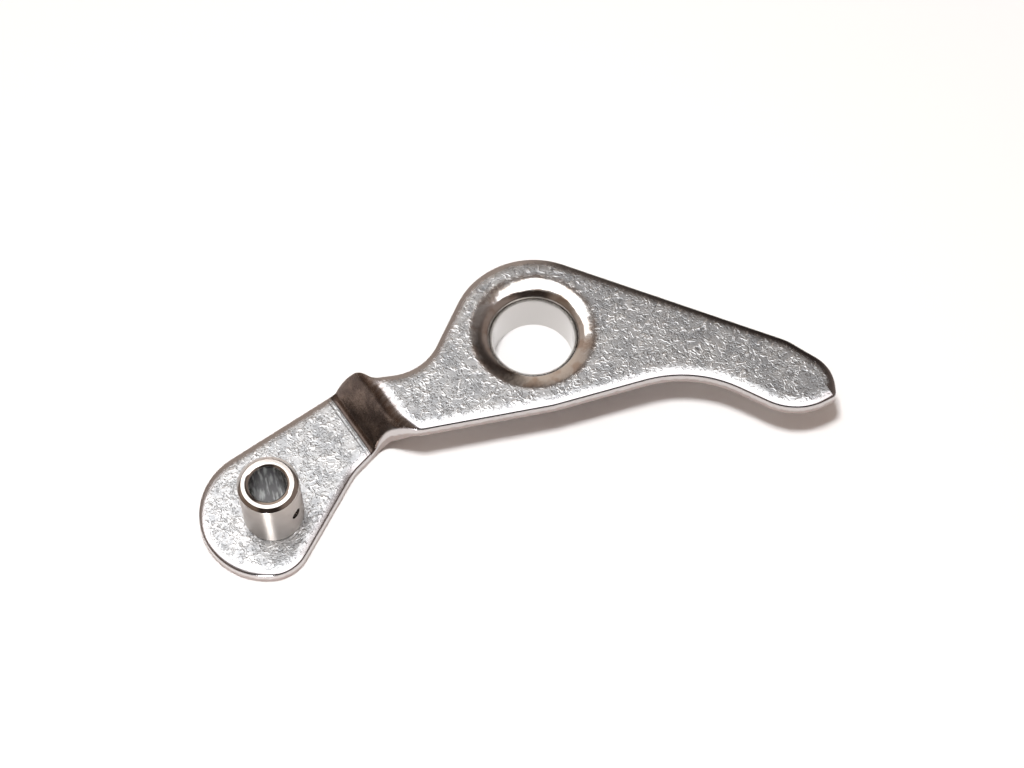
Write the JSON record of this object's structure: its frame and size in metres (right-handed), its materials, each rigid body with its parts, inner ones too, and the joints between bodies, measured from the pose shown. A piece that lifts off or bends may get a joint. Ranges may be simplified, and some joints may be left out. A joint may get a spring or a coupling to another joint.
{
  "type": "chain tensioner arm",
  "caption": "Pressed steel lever with a joggle, a drawn pivot collar, a hollow riveted roller pin and a curved push finger.",
  "frame": {"origin": "axis of the pivot bore at the foot of the drawn collar, level with the pin plate's underside", "axes": "+Z along the pivot bore towards the upper face; +X from the roller pin's axis to the pivot's axis"},
  "size_m": [0.0746, 0.0383, 0.011],
  "materials": {
    "tumbled_steel": "tumbled satin sheet steel, mottled with fine bright and dark marks",
    "polished_steel": "ground and polished bright steel"
  },
  "bodies": {
    "root": {"arm": "tumbled_steel", "roller_pin": "polished_steel"}
  },
  "joints": []
}
